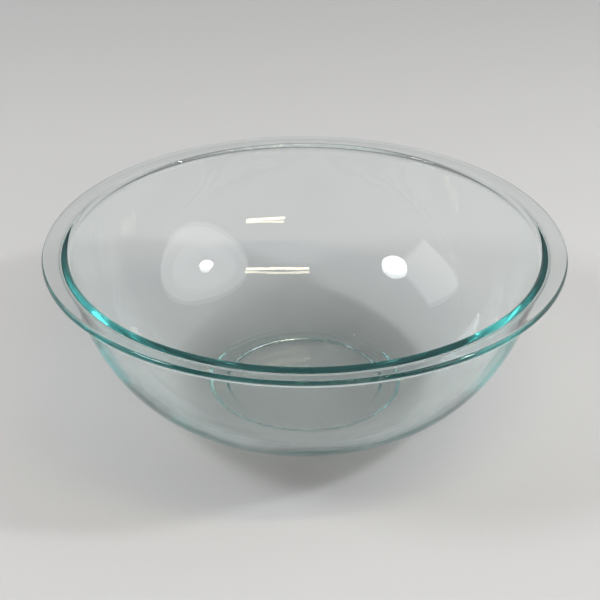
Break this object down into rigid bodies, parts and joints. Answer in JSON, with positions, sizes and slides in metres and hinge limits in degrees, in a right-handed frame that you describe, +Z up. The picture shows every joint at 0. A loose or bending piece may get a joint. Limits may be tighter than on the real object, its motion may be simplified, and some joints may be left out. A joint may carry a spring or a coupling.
{
  "type": "mixing bowl",
  "caption": "Deep round glass bowl with a flat flange round the mouth, a smooth curved wall and a low foot ring, for mixing and holding food.",
  "frame": {"origin": "middle of the plane that the foot ring rests on", "axes": "+Z up along the bowl's own axis, out of the mouth; X and Y are any two square directions, because the bowl is round"},
  "size_m": [0.292, 0.292, 0.1025],
  "materials": {
    "glass": "clear pressed glass, polished, with a faint green-blue body colour that shows at the edges"
  },
  "bodies": {
    "root": {"bowl": "glass"}
  },
  "joints": []
}
